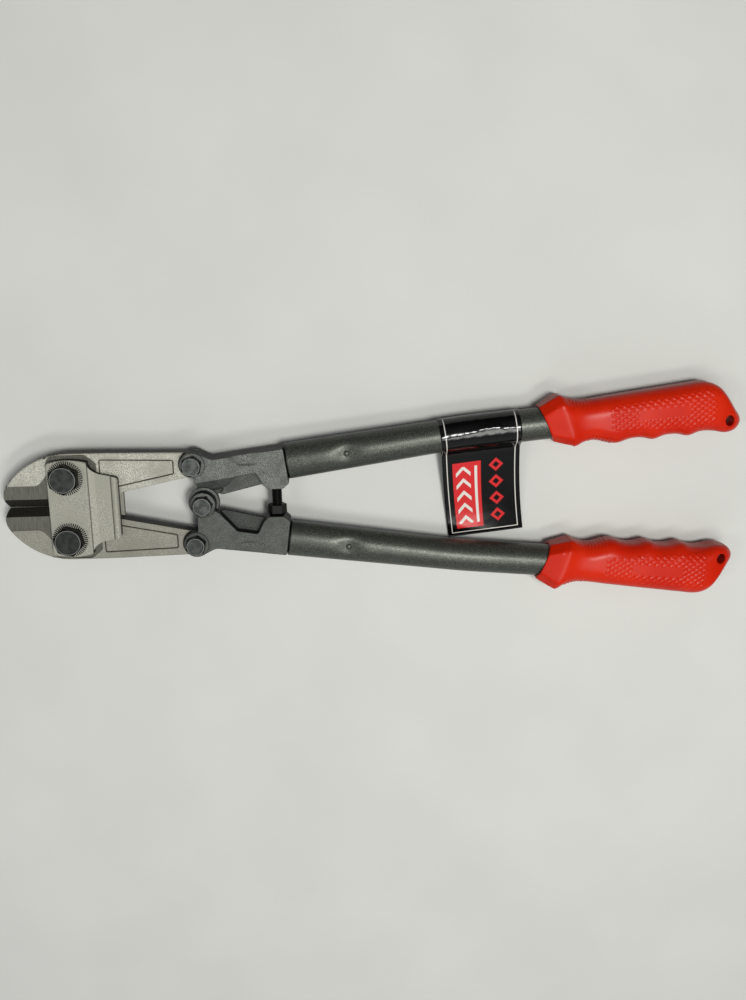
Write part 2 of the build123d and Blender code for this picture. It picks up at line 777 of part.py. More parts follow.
# Pivot bolts and nuts of the brackets
pivot_bolt_tip = -(boss_face + pivot_nut_height + bolt_end)
pivot_bolt_sizes = (pivot_bolt_diameter, pivot_bolt_flats, pivot_bolt_head)
tail_at = (tail_x, tail_y)
with BuildPart() as centre_bolt:
    add(hex_bolt((0, 0), *pivot_bolt_sizes, centre_bolt_turn, boss_face, pivot_bolt_tip))

with BuildPart() as centre_nut:
    add(hex_nut((0, 0), pivot_bolt_diameter, pivot_bolt_flats, pivot_nut_height, -boss_face))

with BuildPart() as upper_tail_bolt:
    add(hex_bolt(tail_at, *pivot_bolt_sizes, tail_bolt_turn, boss_face, pivot_bolt_tip))

with BuildPart() as lower_tail_bolt:
    add(hex_bolt((tail_x, -tail_y), *pivot_bolt_sizes, tail_bolt_turn, boss_face, pivot_bolt_tip))

with BuildPart() as upper_tail_nut:
    add(hex_nut(tail_at, pivot_bolt_diameter, pivot_bolt_flats, pivot_nut_height, -boss_face))

with BuildPart() as lower_tail_nut:
    mirror(upper_tail_nut.part, about=Plane.XZ)

# Tubes, rivets and grips
with BuildPart() as upper_tube:
    add(tube())

with BuildPart() as lower_tube:
    mirror(upper_tube.part, about=Plane.XZ)

with BuildPart() as upper_tube_rivet:
    add(rivet())

with BuildPart() as lower_tube_rivet:
    mirror(upper_tube_rivet.part, about=Plane.XZ)

with BuildPart() as upper_grip:
    add(grip())

with BuildPart() as lower_grip:
    mirror(upper_grip.part, about=Plane.XZ)

# Flag label: a film round the upper tube, its two plies stuck together towards the lower handle
label_straight = label_length - radians(bend_angle) * bend_radius
label_end = bend_end + grip_along * label_straight
label_along = (label_end - bend_start).normalized()
label_across = Vector(-label_along.Y, label_along.X, 0)
label_middle = (label_end + bend_start) * 0.5
droop = radians(flag_droop)
flag_plane = Plane(
    origin=middle + label_middle,
    x_dir=label_along,
    z_dir=Vector(0, 0, cos(droop)) - label_across * sin(droop),
)
film_inner = tube_diameter / 2 + label_gap
with BuildPart() as flag_label:
    with BuildLine(layer(0)) as label_route:
        JernArc((bend_start.X, bend_start.Y), (tube_along.X, tube_along.Y), bend_radius, -bend_angle)
        Line((bend_end.X, bend_end.Y), (label_end.X, label_end.Y))
    with BuildSketch(flag_plane):
        with Locations((0, -flag_reach / 2)):
            RectangleRounded(label_length - 0.6, flag_reach, flag_corner)
    extrude(amount=label_film, both=True)
    with BuildSketch(tube_plane(tube_straight)):
        Circle(film_inner + label_film)
    sweep(path=label_route.wires()[0])
    with BuildSketch(tube_plane(tube_straight)):
        Circle(film_inner)
    sweep(path=label_route.wires()[0], mode=Mode.SUBTRACT)

pieces = {
    "upper_jaw": upper_jaw,
    "lower_jaw": lower_jaw,
    "front_strap": front_strap,
    "rear_strap": rear_strap,
    "upper_jaw_bolt": upper_jaw_bolt,
    "lower_jaw_bolt": lower_jaw_bolt,
    "upper_jaw_nut": upper_jaw_nut,
    "lower_jaw_nut": lower_jaw_nut,
    "upper_bracket": upper_bracket,
    "lower_bracket": lower_bracket,
    "stop_screw": stop_screw,
    "centre_bolt": centre_bolt,
    "centre_nut": centre_nut,
    "upper_tail_bolt": upper_tail_bolt,
    "lower_tail_bolt": lower_tail_bolt,
    "upper_tail_nut": upper_tail_nut,
    "lower_tail_nut": lower_tail_nut,
    "upper_tube": upper_tube,
    "lower_tube": lower_tube,
    "upper_tube_rivet": upper_tube_rivet,
    "lower_tube_rivet": lower_tube_rivet,
    "upper_grip": upper_grip,
    "lower_grip": lower_grip,
    "flag_label": flag_label,
}
for name, piece in pieces.items():
    piece.part.label = name
    export_step(piece.part, f"parts/{name}.step")
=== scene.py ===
"""Bolt cutters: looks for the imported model.

Lengths are given in millimetres from the main pivot, in the model's own frame, and turned into
metres by place(). X runs from the jaws to the grips, Y towards the upper handle, Z up.
"""

import json
from math import cos, pi, radians, sin, tan

import bmesh
import bpy
import numpy as np
from mathutils import Matrix, Vector


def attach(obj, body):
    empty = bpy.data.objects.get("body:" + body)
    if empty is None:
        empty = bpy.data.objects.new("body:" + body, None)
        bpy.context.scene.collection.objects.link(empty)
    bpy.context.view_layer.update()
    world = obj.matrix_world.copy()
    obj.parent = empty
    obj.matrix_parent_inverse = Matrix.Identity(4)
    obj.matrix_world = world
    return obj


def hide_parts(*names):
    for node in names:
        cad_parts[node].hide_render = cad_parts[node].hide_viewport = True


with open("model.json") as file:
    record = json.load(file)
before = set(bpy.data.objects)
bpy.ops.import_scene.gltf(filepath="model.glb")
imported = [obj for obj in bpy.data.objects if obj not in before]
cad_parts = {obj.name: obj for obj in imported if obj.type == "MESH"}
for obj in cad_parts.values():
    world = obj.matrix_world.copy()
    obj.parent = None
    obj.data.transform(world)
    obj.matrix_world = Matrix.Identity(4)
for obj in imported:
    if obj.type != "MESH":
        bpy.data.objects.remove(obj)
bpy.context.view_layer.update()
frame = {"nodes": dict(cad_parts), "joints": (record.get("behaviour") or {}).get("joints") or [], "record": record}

MM = 0.001
joints = {joint["name"]: joint for joint in frame["joints"]}
bodies = frame["record"]["behaviour"]["bodies"]
body_of = {node: body for body, nodes in bodies.items() for node in nodes}
slot_of = {part["node"]: part["material_slot"] for part in frame["record"]["subparts"]}
mounts = {mount["name"]: mount for mount in frame["record"]["mounts"]}
pivot = Vector(joints["handle_hinge"]["pos_m"])

# Sizes repeated from the part's source
jaw_bolt = (-80.7, 19.1)
jaw_half = 4.75
bevel_width = 5.4
heel_ahead = 9.0
tick_outer = 10.4
tick_count = 48
tube_start = (50.9, 24.2)
tube_angle = radians(7.8)
tube_width = 22.2
tube_depth = 17.8
tube_diameter = 20.0
tube_wall = 1.8
tube_straight = 95.0
bend_radius = 600.0
bend_angle = radians(2.5)
rivet_along = 37.3
grip_setback = 39.1
grip_inside = 88.0
ridge_at = 12.3
ridge_slant = 0.256
ridge_outer = 17.0
ridge_inner = 15.6
ridge_half_depth = 13.4
collar_chamfer = 5.5
neck_outer = 11.7
neck_inner = 13.3
neck_half_depth = 12.0
tail_pivot_ahead = 5.1
tail_pivot_offset = 24.7
fork_half = 3.6
bracket_half = 8.5
stop_behind = 44.6
stop_diameter = 6.6
stop_flats = 10.0
stop_head = 6.2
lobe_offset = 8.6
label_length = 49.3
label_film = 0.4
flag_reach = 69.9
flag_droop = radians(11.6)

# Sizes that only the scene has
panel_from = -62.0            # front of the jaws' grooved panels
strap_shade_lines = (13.4, 26.6)    # dark lines of painted shade across the straps, behind the jaw bolts
web_half = 1.9                # brackets' thin webs, from the middle of the tool
fork_reach = 8.2              # fork's slot, from the tail pivot
lap_corners = ((13.9, 16.2, 1.0), (20.1, 17.1, 1.0), (14.66, 11.0, 0.34))  # height as a share
trough_corner = (20.7, 22.8)  # the trough's inner edge runs from its end to here and on to its left
trough_end = (35.5, 23.2)
trough_left = (16.0, 28.1)
trough_depth = 1.2
knurl_from, knurl_to = 37.5, 103.5
knurl_pitch = 4.6
knurl_slope = radians(36)
knurl_line = 0.42
knurl_rise = 0.3
band_rise = 0.12
rib_pitch = 2.1
dent_depth = 1.65
dent_along = 6.5
dent_across = 5.0
label_sheet = 0.3             # film's thickness as it is shown
film_scale = 100.0            # millimetres to one unit of the film's layout

tube_along = np.array([cos(tube_angle), sin(tube_angle)])
tube_across = np.array([-sin(tube_angle), cos(tube_angle)])
grip_angle = tube_angle - bend_angle
grip_along = np.array([cos(grip_angle), sin(grip_angle)])
grip_across = np.array([-sin(grip_angle), cos(grip_angle)])
bend_start = np.array(tube_start) + tube_along * tube_straight
bend_end = bend_start + (grip_across - tube_across) * bend_radius
bend_length = bend_radius * bend_angle
grip_datum = bend_end + grip_along * grip_setback


def place(x, y, z=0.0):
    """Point in the model's frame, in metres, from millimetres off the main pivot."""
    return pivot + Vector((x, y, z)) * MM


def ease(value, low, high):
    """Smooth step from 0 at low to 1 at high, for numbers or arrays."""
    t = np.clip((value - low) / (high - low), 0.0, 1.0)
    return t * t * (3 - 2 * t)


# Materials


class Graph:
    """A material's node tree, built a node at a time."""

    def __init__(self, name, roughness, metallic=0.0, **sockets):
        self.material = bpy.data.materials.new(name)
        self.material.use_nodes = True
        self.tree = self.material.node_tree
        self.tree.nodes.clear()
        self.shader = self.add("ShaderNodeBsdfPrincipled")
        self.shader.inputs["Roughness"].default_value = roughness
        self.shader.inputs["Metallic"].default_value = metallic
        for socket, value in sockets.items():
            self.shader.inputs[socket.replace("_", " ")].default_value = value
        output = self.add("ShaderNodeOutputMaterial")
        self.tree.links.new(self.shader.outputs["BSDF"], output.inputs["Surface"])
        self.coordinates = self.add("ShaderNodeTexCoord")
        self.spot = self.coordinates.outputs["Object"]
        self.split = None

    def add(self, kind, **settings):
        node = self.tree.nodes.new(kind)
        for key, value in settings.items():
            setattr(node, key, value)
        return node

    def feed(self, socket, value):
        if isinstance(value, bpy.types.NodeSocket):
            self.tree.links.new(value, socket)
        else:
            socket.default_value = value

    def set(self, socket, value):
        self.feed(self.shader.inputs[socket], value)

    def math(self, operation, a, b=0.0):
        node = self.add("ShaderNodeMath", operation=operation)
        self.feed(node.inputs[0], a)
        self.feed(node.inputs[1], b)
        return node.outputs[0]

    def axes(self):
        """The x, y and z of a point, in millimetres off the main pivot."""
        if self.split is None:
            shift = self.add("ShaderNodeVectorMath", operation="SUBTRACT")
            self.feed(shift.inputs[0], self.spot)
            shift.inputs[1].default_value = pivot
            scale = self.add("ShaderNodeVectorMath", operation="SCALE")
            self.feed(scale.inputs[0], shift.outputs[0])
            scale.inputs["Scale"].default_value = 1 / MM
            self.split = self.add("ShaderNodeSeparateXYZ")
            self.feed(self.split.inputs[0], scale.outputs[0])
        return self.split.outputs

    def facing(self):
        """How squarely the surface faces up or down, 0 to 1."""
        split = self.add("ShaderNodeSeparateXYZ")
        self.feed(split.inputs[0], self.coordinates.outputs["Normal"])
        return self.math("ABSOLUTE", split.outputs[2])

    def step(self, value, low, high):
        """Smooth step from 0 at low to 1 at high."""
        node = self.add("ShaderNodeMapRange", interpolation_type="SMOOTHSTEP")
        self.feed(node.inputs["Value"], value)
        node.inputs["From Min"].default_value = low
        node.inputs["From Max"].default_value = high
        return node.outputs["Result"]

    def fall(self, value, low, high):
        """Smooth step from 1 at low to 0 at high."""
        return self.math("SUBTRACT", 1.0, self.step(value, low, high))

    def noise(self, size, detail=3.0, rough=0.5, stretch=(1, 1, 1)):
        """Noise whose blotches are about size millimetres across."""
        mapping = self.add("ShaderNodeMapping")
        mapping.inputs["Scale"].default_value = stretch
        self.feed(mapping.inputs["Vector"], self.spot)
        node = self.add("ShaderNodeTexNoise")
        self.feed(node.inputs["Vector"], mapping.outputs[0])
        node.inputs["Scale"].default_value = 1 / (size * MM)
        node.inputs["Detail"].default_value = detail
        node.inputs["Roughness"].default_value = rough
        return node.outputs["Fac"]

    def mix(self, factor, a, b, kind="RGBA"):
        """Colour between a and b."""
        node = self.add("ShaderNodeMix", data_type=kind)
        self.feed(node.inputs["Factor"], factor)
        self.feed(node.inputs["A"], a)
        self.feed(node.inputs["B"], b)
        return node.outputs["Result"]

    def blend(self, factor, a, b):
        """Number between a and b."""
        return self.mix(factor, a, b, "FLOAT")

    def bump(self, height, depth, strength, below=None):
        """Small relief of the given depth in millimetres, on top of another if one is given."""
        node = self.add("ShaderNodeBump")
        node.inputs["Strength"].default_value = strength
        node.inputs["Distance"].default_value = depth * MM
        self.feed(node.inputs["Height"], height)
        if below is not None:
            self.feed(node.inputs["Normal"], below)
        return node.outputs["Normal"]


def srgb(red, green, blue):
    """Linear colour from 0 to 255 display values."""
    def linear(value):
        share = value / 255
        return share / 12.92 if share <= 0.04045 else ((share + 0.055) / 1.055) ** 2.4
    return (linear(red), linear(green), linear(blue), 1.0)


def jaw_steel():
    """Pale forged steel, ground about the straps, with painted shade that blackens its sides over their forged
    scale and darkens its panel grooves and the lower jaw, and dark cutting bevels deepened by painted shade.
    """
    g = Graph("jaw_steel", 0.42, 0.1, Specular_IOR_Level=0.16)
    x, y, z = g.axes()
    across = g.math("ABSOLUTE", y)
    level = g.math("ABSOLUTE", z)
    grain = g.noise(0.55, 4.0, 0.62)
    cloud = g.noise(14.0, 3.0)
    cast = g.mix(g.step(grain, 0.38, 0.64), srgb(146, 145, 134), srgb(214, 213, 201))
    cast = g.mix(g.step(cloud, 0.35, 0.85), cast, srgb(156, 154, 142))
    # Painted shade: the lower jaw is painted darker.
    below = g.math("LESS_THAN", y, 0.0)
    cast = g.mix(g.math("MULTIPLY", below, 0.6), cast, srgb(112, 110, 99))
    scratch = g.noise(0.5, 3.0, 0.6, (0.9, 0.06, 1.0))
    ground = g.mix(g.step(scratch, 0.3, 0.7), srgb(86, 86, 78), srgb(110, 109, 100))
    # The cutting bevels' near-black colour is their own darker ground finish, deepened as painted shade.
    dark = g.mix(g.step(scratch, 0.3, 0.75), srgb(20, 19, 15), srgb(46, 45, 38))
    facing = g.facing()
    flat = g.step(facing, 0.5, 0.9)
    low = g.math("MULTIPLY", g.fall(level, jaw_half - 0.5, jaw_half - 0.3), flat)
    heel = jaw_bolt[0] - heel_ahead
    bevel = g.fall(across, bevel_width - 0.2, bevel_width + 0.1)
    bevel = g.math("MULTIPLY", bevel, g.fall(x, heel - 0.4, heel))
    # Painted shade: sides that face sideways are painted near-black, over their dark forged scale.
    scale = g.mix(grain, srgb(12, 11, 9), srgb(32, 30, 26))
    # Painted shade: the floors of the panel grooves are painted dark.
    groove_shade = g.math("MULTIPLY", low, g.step(x, panel_from - 0.5, panel_from))
    colour = g.mix(groove_shade, g.mix(low, cast, ground), srgb(30, 29, 25))
    colour = g.mix(bevel, g.mix(g.step(facing, 0.15, 0.5), scale, colour), dark)
    g.set("Base Color", colour)
    rough = g.blend(low, g.blend(grain, 0.4, 0.62), g.blend(scratch, 0.34, 0.54))
    g.set("Roughness", rough)
    g.set("Normal", g.bump(grain, 0.09, 0.7))
    return g.material


def strap_steel():
    """Grey forged plate, with painted shade that blackens its sides and the ticks scored about the jaw bolts, and
    two dark lines of painted shade across.
    """
    g = Graph("strap_steel", 0.45, 0.1, Specular_IOR_Level=0.2)
    grain = g.noise(0.5, 4.0, 0.62)
    cloud = g.noise(18.0, 3.0)
    colour = g.mix(g.step(grain, 0.38, 0.64), srgb(134, 133, 122), srgb(186, 185, 173))
    colour = g.mix(g.step(cloud, 0.3, 0.8), colour, srgb(156, 155, 143))
    # Painted shade: sides that face sideways are painted near-black, over their dark forged scale.
    scale = g.mix(grain, srgb(16, 15, 13), srgb(38, 36, 32))
    flat = g.step(g.facing(), 0.15, 0.5)
    colour = g.mix(flat, scale, colour)
    x, y, _ = g.axes()
    along = g.math("SUBTRACT", x, jaw_bolt[0])
    aside = g.math("SUBTRACT", g.math("ABSOLUTE", y), jaw_bolt[1])
    squares = [g.math("POWER", length, 2.0) for length in (along, aside)]
    from_bolt = g.math("SQRT", g.math("ADD", *squares))
    turns = g.math("MULTIPLY", g.math("ARCTAN2", aside, along), tick_count / (2 * pi))
    between = g.math("PINGPONG", turns, 0.5)
    # Painted shade: the scored ticks are painted black.
    tick_shade = g.fall(between, 0.2, 0.34)
    tick_shade = g.math("MULTIPLY", tick_shade, g.math("LESS_THAN", from_bolt, tick_outer + 0.2))
    colour = g.mix(g.math("MULTIPLY", tick_shade, flat), colour, srgb(16, 15, 13))
    # Painted shade: a dark line across each strap at each of these places.
    for line in strap_shade_lines:
        line_shade = g.fall(g.math("ABSOLUTE", g.math("SUBTRACT", along, line)), 0.15, 0.55)
        colour = g.mix(g.math("MULTIPLY", line_shade, 0.75), colour, srgb(48, 46, 38))
    g.set("Base Color", colour)
    g.set("Roughness", g.blend(grain, 0.42, 0.62))
    g.set("Normal", g.bump(grain, 0.07, 0.7))
    return g.material


def dark_bolt():
    """Black hexagons whose round flat tops are worn grey, with a painted highlight on the chamfer round each top
    and painted shade on the tops on the lower handle's side.
    """
    g = Graph("dark_bolt", 0.42, Specular_IOR_Level=0.16)
    x, y, _ = g.axes()
    grain = g.noise(0.7, 4.0, 0.6)
    cloud = g.noise(3.5, 3.0)
    side = g.mix(grain, srgb(4, 4, 4), srgb(12, 12, 11))
    top = g.mix(g.step(cloud, 0.35, 0.7), srgb(64, 68, 65), srgb(96, 100, 97))
    top = g.mix(g.step(grain, 0.52, 0.8), top, srgb(44, 47, 44))
    jaw_top = g.mix(g.step(cloud, 0.3, 0.7), srgb(36, 38, 35), srgb(60, 64, 60))
    jaw_top = g.mix(g.step(grain, 0.6, 0.82), jaw_top, srgb(92, 95, 90))
    front = g.math("LESS_THAN", x, jaw_bolt[0] / 2)
    top = g.mix(front, top, jaw_top)
    # Painted shade: bolt tops on the lower handle's side are painted darker.
    below = g.step(y, 0.0, -8.0)
    top = g.mix(g.math("MULTIPLY", below, 0.35), top, srgb(34, 36, 33))
    facing = g.facing()
    face = g.step(facing, 0.985, 0.996)
    # Painted highlight: a pale ring on the chamfer round each top.
    rim_highlight = g.math("MULTIPLY", g.step(facing, 0.9, 0.94), g.math("SUBTRACT", 1.0, face))
    colour = g.mix(face, side, top)
    g.set("Base Color", g.mix(rim_highlight, colour, srgb(128, 131, 126)))
    g.set("Roughness", g.blend(grain, 0.34, 0.52))
    g.set("Normal", g.bump(grain, 0.05, 0.5))
    return g.material


def black_screw():
    """Blackened steel."""
    g = Graph("black_screw", 0.42, Specular_IOR_Level=0.22)
    grain = g.noise(0.6, 3.0)
    g.set("Base Color", g.mix(grain, srgb(5, 5, 5), srgb(15, 15, 14)))
    g.set("Roughness", g.blend(grain, 0.35, 0.55))
    g.set("Normal", g.bump(grain, 0.04, 0.5))
    return g.material


def bracket_paint():
    """Grey paint on a rough casting, with painted shade on its slopes, webs and sides and over the lower bracket.
    """
    g = Graph("bracket_paint", 0.5, Specular_IOR_Level=0.14)
    grain = g.noise(0.45, 4.0, 0.6)
    cloud = g.noise(9.0, 4.0, 0.55)
    pits = g.step(g.noise(3.0, 2.0, 0.4), 0.68, 0.76)
    colour = g.mix(g.step(grain, 0.38, 0.62), srgb(68, 71, 66), srgb(142, 145, 139))
    colour = g.mix(g.step(cloud, 0.42, 0.7), colour, srgb(94, 97, 92))
    _, y, z = g.axes()
    # Painted shade: the lower bracket is painted darker.
    below = g.step(y, 6.0, -6.0)
    colour = g.mix(g.math("MULTIPLY", below, 0.5), colour, srgb(58, 60, 56))
    # Painted shade: the recessed webs are painted darker.
    web_shade = g.math("LESS_THAN", g.math("ABSOLUTE", z), web_half)
    colour = g.mix(g.math("MULTIPLY", web_shade, 0.5), colour, srgb(44, 46, 43))
    facing = g.facing()
    # Painted shade: tilted faces are painted darker.
    slope_shade = g.fall(facing, 0.72, 0.97)
    colour = g.mix(g.math("MULTIPLY", slope_shade, 0.6), colour, srgb(34, 36, 33))
    colour = g.mix(pits, colour, srgb(62, 64, 60))
    # Painted shade: sides that face sideways are painted near-black.
    shade = g.mix(grain, srgb(14, 15, 13), srgb(30, 31, 29))
    g.set("Base Color", g.mix(g.step(facing, 0.1, 0.45), shade, colour))
    g.set("Roughness", g.blend(grain, 0.4, 0.6))
    rough_cast = g.bump(cloud, 0.3, 0.6)
    g.set("Normal", g.bump(grain, 0.1, 0.7, rough_cast))
    return g.material


def tube_paint():
    """Dark metallic paint with fine flakes, with painted shade that turns it black where it meets the bracket."""
    g = Graph("tube_paint", 0.36, 0.45)
    x, y, _ = g.axes()
    along = g.math("MULTIPLY", g.math("SUBTRACT", x, tube_start[0]), tube_along[0])
    outward = g.math("SUBTRACT", g.math("ABSOLUTE", y), tube_start[1])
    along = g.math("ADD", along, g.math("MULTIPLY", outward, tube_along[1]))
    # Painted shade: the first millimetre or so of the tube, where it meets the bracket, is painted black.
    seam_shade = g.fall(along, 0.9, 1.5)
    flake = g.noise(0.6, 2.0, 0.5)
    cloud = g.noise(11.0, 3.0)
    colour = g.mix(g.step(flake, 0.38, 0.66), srgb(52, 54, 48), srgb(90, 93, 85))
    colour = g.mix(g.step(cloud, 0.45, 0.85), colour, srgb(64, 66, 60))
    g.set("Base Color", g.mix(seam_shade, colour, srgb(7, 7, 6)))
    g.set("Roughness", g.blend(cloud, 0.36, 0.43))
    g.set("Normal", g.bump(flake, 0.035, 0.5, g.bump(cloud, 0.12, 0.25)))
    return g.material


def grip_plastic():
    """Red moulded plastic with a faint grain."""
    g = Graph("grip_plastic", 0.3, Specular_IOR_Level=0.16)
    cloud = g.noise(20.0, 3.0)
    fine = g.noise(0.6, 3.0, 0.55)
    g.set("Base Color", g.mix(g.step(cloud, 0.3, 0.75), srgb(198, 32, 7), srgb(210, 41, 12)))
    g.set("Roughness", g.blend(fine, 0.26, 0.36))
    g.set("Normal", g.bump(fine, 0.03, 0.3))
    return g.material


def label_print():
    """Glossy black film with a white hairline frame, a red panel of chevrons and red lozenges."""
    g = Graph("label_film", 0.14, Specular_IOR_Level=0.36)
    layout = g.add("ShaderNodeUVMap", uv_map="film")
    split = g.add("ShaderNodeSeparateXYZ")
    g.feed(split.inputs[0], layout.outputs[0])
    along = g.math("MULTIPLY", split.outputs[0], label_length)
    up = g.math("MULTIPLY", split.outputs[1], film_scale)

    def between(value, low, high, soft=0.12):
        inside = g.step(value, low - soft, low + soft)
        return g.math("MULTIPLY", inside, g.fall(value, high - soft, high + soft))

    def both(a, b):
        return g.math("MULTIPLY", a, b)

    def either(a, b):
        return g.math("MAXIMUM", a, b)

    def off(value, middle):
        return g.math("ABSOLUTE", g.math("SUBTRACT", value, middle))

    inset, line, foot, frame_top = 2.7, 0.55, 2.2, 90.0
    right = label_length - inset
    sides = either(between(along, inset, inset + line), between(along, right - line, right))
    sides = both(sides, between(up, foot, frame_top))
    ends = both(between(up, foot, foot + line), between(along, inset, right))
    frame_line = either(sides, ends)
    panel = both(between(along, 6.5, 25.0), between(up, 5.0, 50.0))
    art_low, art_high = 8.0, 47.0
    chevron_middle, chevron_pitch = 13.4, 8.5
    rise = g.math("ADD", up, off(along, chevron_middle))
    chevron = g.math("FRACT", g.math("DIVIDE", rise, chevron_pitch))
    chevron_area = both(between(along, 8.6, 18.2), between(up, art_low, art_high))
    chevron = both(between(chevron, 0.3, 0.62, 0.02), chevron_area)
    rule = both(between(along, 20.8, 22.6), between(up, art_low, art_high))
    gem_foot, gem_top, gem_pitch, gem_middle = 6.0, 52.0, 11.5, 34.5
    gem_step = g.math("FRACT", g.math("DIVIDE", g.math("SUBTRACT", up, gem_foot), gem_pitch))
    gem_up = g.math("MULTIPLY", off(gem_step, 0.5), gem_pitch)
    gem = g.math("ADD", gem_up, off(along, gem_middle))
    gem = both(between(gem, 2.2, 4.6, 0.15), between(up, gem_foot, gem_top))
    cloud = g.noise(6.0, 3.0)
    ink = g.mix(cloud, srgb(3, 3, 3), srgb(8, 8, 7))
    ink = g.mix(either(panel, gem), ink, srgb(214, 44, 46))
    g.set("Base Color", g.mix(either(frame_line, either(chevron, rule)), ink, srgb(226, 222, 214)))
    g.set("Roughness", g.blend(cloud, 0.1, 0.2))
    g.set("Normal", g.bump(cloud, 0.25, 0.3))
    return g.material


finishes = {
    "jaw_steel": jaw_steel(),
    "strap_steel": strap_steel(),
    "dark_bolt": dark_bolt(),
    "black_screw": black_screw(),
    "bracket_paint": bracket_paint(),
    "tube_paint": tube_paint(),
    "grip_plastic": grip_plastic(),
    "label_film": label_print(),
}
for node, obj in frame["nodes"].items():
    obj.data.materials.clear()
    obj.data.materials.append(finishes[slot_of[node]])


# Pieces


def add_piece(name, mesh, node, smooth=True):
    """Shows a mesh in place of a CAD node, on the node's body and with its finish."""
    mesh.materials.clear()
    mesh.materials.append(finishes[slot_of[node]])
    if smooth:
        mesh.polygons.foreach_set("use_smooth", np.ones(len(mesh.polygons), bool))
    mesh.update()
    piece = bpy.data.objects.new(name, mesh)
    bpy.context.scene.collection.objects.link(piece)
    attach(piece, body_of[node])
    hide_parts(node)
    return piece


def applied(source, *modifiers):
    """A mesh with modifiers, given as (kind, settings), worked into it."""
    work = bpy.data.objects.new("work", source)
    bpy.context.scene.collection.objects.link(work)
    for kind, settings in modifiers:
        modifier = work.modifiers.new(kind.lower(), kind)
        for key, value in settings.items():
            setattr(modifier, key, value)
    graph = bpy.context.evaluated_depsgraph_get()
    mesh = bpy.data.meshes.new_from_object(work.evaluated_get(graph))
    bpy.data.objects.remove(work)
    return mesh


def plain(edge):
    """Whether an edge is clear of the ticks about the jaw bolts."""
    middle = ((edge.verts[0].co + edge.verts[1].co) / 2 - pivot) / MM
    return np.hypot(middle.x - jaw_bolt[0], abs(middle.y) - jaw_bolt[1]) > tick_outer + 0.2


def softened(node, width, chosen=lambda edge: True):
    """A CAD node's shape with its chosen hard edges rounded over."""
    mesh = bpy.data.meshes.new(node)
    bm = bmesh.new()
    bm.from_mesh(frame["nodes"][node].data)
    bmesh.ops.remove_doubles(bm, verts=bm.verts, dist=1e-6)
    bmesh.ops.dissolve_limit(bm, angle_limit=radians(0.6), verts=bm.verts, edges=bm.edges)
    hard = [e for e in bm.edges if len(e.link_faces) == 2 and e.calc_face_angle(0) > radians(28)]
    hard = [e for e in hard if chosen(e)]
    bmesh.ops.bevel(
        bm,
        geom=hard,
        offset=width * MM,
        segments=2,
        profile=0.5,
        affect="EDGES",
        clamp_overlap=False,
    )
    bmesh.ops.triangulate(bm, faces=[f for f in bm.faces if len(f.verts) > 4])
    bm.to_mesh(mesh)
    bm.free()
    piece = add_piece(node + "_finished", mesh, node)
    shading = piece.modifiers.new("even_shading", "WEIGHTED_NORMAL")
    shading.keep_sharp = True


def vertex_arrays(mesh):
    """A mesh's vertex positions and normals as arrays."""
    spots = np.empty(len(mesh.vertices) * 3)
    normals = np.empty(len(mesh.vertices) * 3)
    mesh.vertices.foreach_get("co", spots)
    mesh.vertices.foreach_get("normal", normals)
    return spots.reshape(-1, 3), normals.reshape(-1, 3)


def even_out(bm, verts, times):
    """Smooths some of a mesh's vertices."""
    for _ in range(times):
        bmesh.ops.smooth_vert(
            bm, verts=verts, factor=0.5, use_axis_x=True, use_axis_y=True, use_axis_z=True
        )


def grip_axes(spots, side):
    """Places along a grip, outwards from its axis and up, in millimetres."""
    off = (spots - np.array(pivot)) / MM
    flat = np.stack([off[:, 0], off[:, 1] * side], axis=1) - grip_datum
    return flat @ grip_along, flat @ grip_across, off[:, 2]


